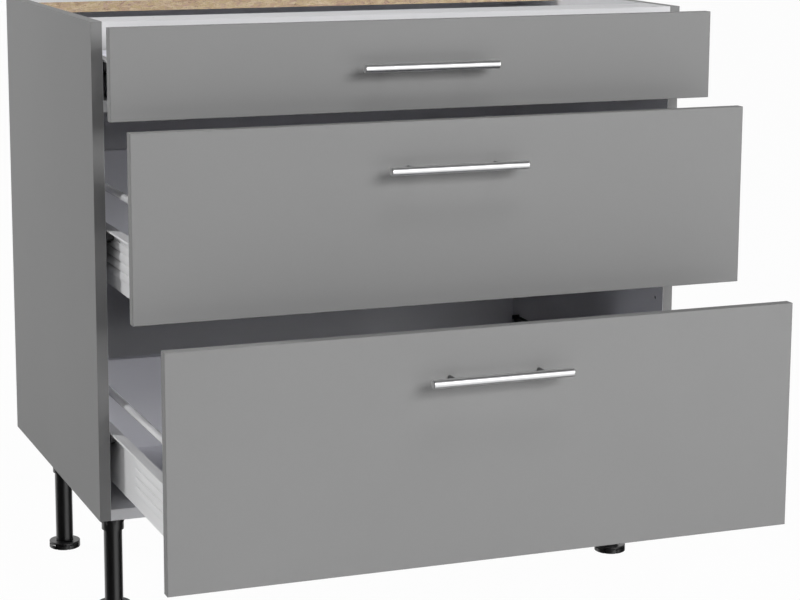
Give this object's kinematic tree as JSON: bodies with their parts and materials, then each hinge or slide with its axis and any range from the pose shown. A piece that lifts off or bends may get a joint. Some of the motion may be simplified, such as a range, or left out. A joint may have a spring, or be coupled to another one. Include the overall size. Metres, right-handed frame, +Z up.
{
  "type": "base cabinet with drawers",
  "caption": "Kitchen base cabinet with three pull-out drawers behind grey fronts with bar handles, on height-adjustable legs.",
  "frame": {"origin": "on the floor, at the middle of the width and of the whole depth with the drawers as they stand", "axes": "+Z up, +Y to the back of the cabinet, +X to its right seen from the front"},
  "size_m": [0.9, 0.942, 0.854],
  "materials": {
    "carcass_grey": "grey melamine outside and white inside on chipboard, satin",
    "front_grey": "grey laminate on chipboard, smooth satin",
    "white_board": "white melamine on chipboard, satin",
    "drawer_board": "pale grey melamine on chipboard, satin",
    "chipboard": "white melamine with a raw chipboard front edge",
    "white_steel": "white powder coat, satin",
    "runner_steel": "black coat, satin",
    "gallery_steel": "white coat, glossy",
    "brushed_handle": "brushed steel",
    "handle_post": "brushed steel, darker",
    "zinc": "zinc plated",
    "black_plastic": "moulded black plastic",
    "white_plastic": "moulded white plastic",
    "roller_plastic": "moulded black plastic",
    "beech": "plain beech dowel"
  },
  "bodies": {
    "carcass": {"side_panel_left": "carcass_grey", "side_panel_right": "carcass_grey", "bottom_panel": "white_board", "front_strip": "white_board", "front_rail": "white_board", "middle_rail": "white_board", "rear_rail": "chipboard", "back_panel": "white_board", "cam_locks": "zinc", "cam_bolts": "zinc", "dowels": "beech", "leg_sockets": "black_plastic", "leg_tubes": "black_plastic", "leg_screws": "zinc", "runners_1": "runner_steel", "runners_2": "runner_steel", "runners_3": "runner_steel", "runner_screws": "zinc", "runner_end_stops": "black_plastic"},
    "drawer_1": {"drawer_1_front": "front_grey", "drawer_1_side_left": "white_steel", "drawer_1_side_right": "white_steel", "drawer_1_floor": "drawer_board", "drawer_1_back": "drawer_board", "drawer_1_brackets": "zinc", "drawer_1_screws": "zinc", "drawer_1_handle_bar": "brushed_handle", "drawer_1_handle_posts": "handle_post"},
    "front_rollers_1": {"front_rollers_1": "roller_plastic"},
    "rear_rollers_1": {"rear_rollers_1": "roller_plastic"},
    "drawer_2": {"drawer_2_front": "front_grey", "drawer_2_side_left": "white_steel", "drawer_2_side_right": "white_steel", "drawer_2_floor": "drawer_board", "drawer_2_back": "drawer_board", "drawer_2_brackets": "zinc", "drawer_2_screws": "zinc", "drawer_2_handle_bar": "brushed_handle", "drawer_2_handle_posts": "handle_post", "drawer_2_gallery_rails": "gallery_steel", "drawer_2_gallery_sockets": "white_plastic"},
    "front_rollers_2": {"front_rollers_2": "roller_plastic"},
    "rear_rollers_2": {"rear_rollers_2": "roller_plastic"},
    "drawer_3": {"drawer_3_front": "front_grey", "drawer_3_side_left": "white_steel", "drawer_3_side_right": "white_steel", "drawer_3_floor": "drawer_board", "drawer_3_back": "drawer_board", "drawer_3_brackets": "zinc", "drawer_3_screws": "zinc", "drawer_3_handle_bar": "brushed_handle", "drawer_3_handle_posts": "handle_post", "drawer_3_gallery_rails": "gallery_steel", "drawer_3_gallery_sockets": "white_plastic"},
    "front_rollers_3": {"front_rollers_3": "roller_plastic"},
    "rear_rollers_3": {"rear_rollers_3": "roller_plastic"},
    "foot_front_left": {"foot_front_left": "black_plastic"},
    "foot_front_right": {"foot_front_right": "black_plastic"},
    "foot_rear_left": {"foot_rear_left": "black_plastic"},
    "foot_rear_right": {"foot_rear_right": "black_plastic"}
  },
  "joints": [
    {"name": "drawer_1_slide", "type": "slide", "parent": "carcass", "child": "drawer_1", "axis": [0, -1, 0], "range_m": [-0.078, 0.29]},
    {"name": "front_rollers_1_spin", "type": "hinge", "parent": "carcass", "child": "front_rollers_1", "pos_m": [0, -0.075, 0.79225], "axis": [1, 0, 0], "range_deg": [-536, 1965]},
    {"name": "rear_rollers_1_spin", "type": "hinge", "parent": "drawer_1", "child": "rear_rollers_1", "pos_m": [0, 0.236, 0.7886], "axis": [1, 0, 0], "range_deg": [-569, 2087]},
    {"name": "drawer_2_slide", "type": "slide", "parent": "carcass", "child": "drawer_2", "axis": [0, -1, 0], "range_m": [-0.178, 0.19]},
    {"name": "front_rollers_2_spin", "type": "hinge", "parent": "carcass", "child": "front_rollers_2", "pos_m": [0, -0.075, 0.55775], "axis": [1, 0, 0], "range_deg": [-1210, 1291]},
    {"name": "rear_rollers_2_spin", "type": "hinge", "parent": "drawer_2", "child": "rear_rollers_2", "pos_m": [0, 0.136, 0.5541], "axis": [1, 0, 0], "range_deg": [-1285, 1371]},
    {"name": "drawer_3_slide", "type": "slide", "parent": "carcass", "child": "drawer_3", "axis": [0, -1, 0], "range_m": [-0.328, 0.04]},
    {"name": "front_rollers_3_spin", "type": "hinge", "parent": "carcass", "child": "front_rollers_3", "pos_m": [0, -0.075, 0.26875], "axis": [1, 0, 0], "range_deg": [-2221, 280]},
    {"name": "rear_rollers_3_spin", "type": "hinge", "parent": "drawer_3", "child": "rear_rollers_3", "pos_m": [0, -0.014, 0.2651], "axis": [1, 0, 0], "range_deg": [-2359, 296]},
    {"name": "foot_front_left_height", "type": "slide", "parent": "carcass", "child": "foot_front_left", "axis": [0, 0, -1], "range_m": [0, 0.02]},
    {"name": "foot_front_right_height", "type": "slide", "parent": "carcass", "child": "foot_front_right", "axis": [0, 0, -1], "range_m": [0, 0.02]},
    {"name": "foot_rear_left_height", "type": "slide", "parent": "carcass", "child": "foot_rear_left", "axis": [0, 0, -1], "range_m": [0, 0.02]},
    {"name": "foot_rear_right_height", "type": "slide", "parent": "carcass", "child": "foot_rear_right", "axis": [0, 0, -1], "range_m": [0, 0.02]}
  ],
  "couplings": [
    {"joint": "front_rollers_1_spin", "follows": "drawer_1_slide", "rad_per_m": 117.65},
    {"joint": "rear_rollers_1_spin", "follows": "drawer_1_slide", "rad_per_m": 125},
    {"joint": "front_rollers_2_spin", "follows": "drawer_2_slide", "rad_per_m": 117.65},
    {"joint": "rear_rollers_2_spin", "follows": "drawer_2_slide", "rad_per_m": 125},
    {"joint": "front_rollers_3_spin", "follows": "drawer_3_slide", "rad_per_m": 117.65},
    {"joint": "rear_rollers_3_spin", "follows": "drawer_3_slide", "rad_per_m": 125}
  ]
}
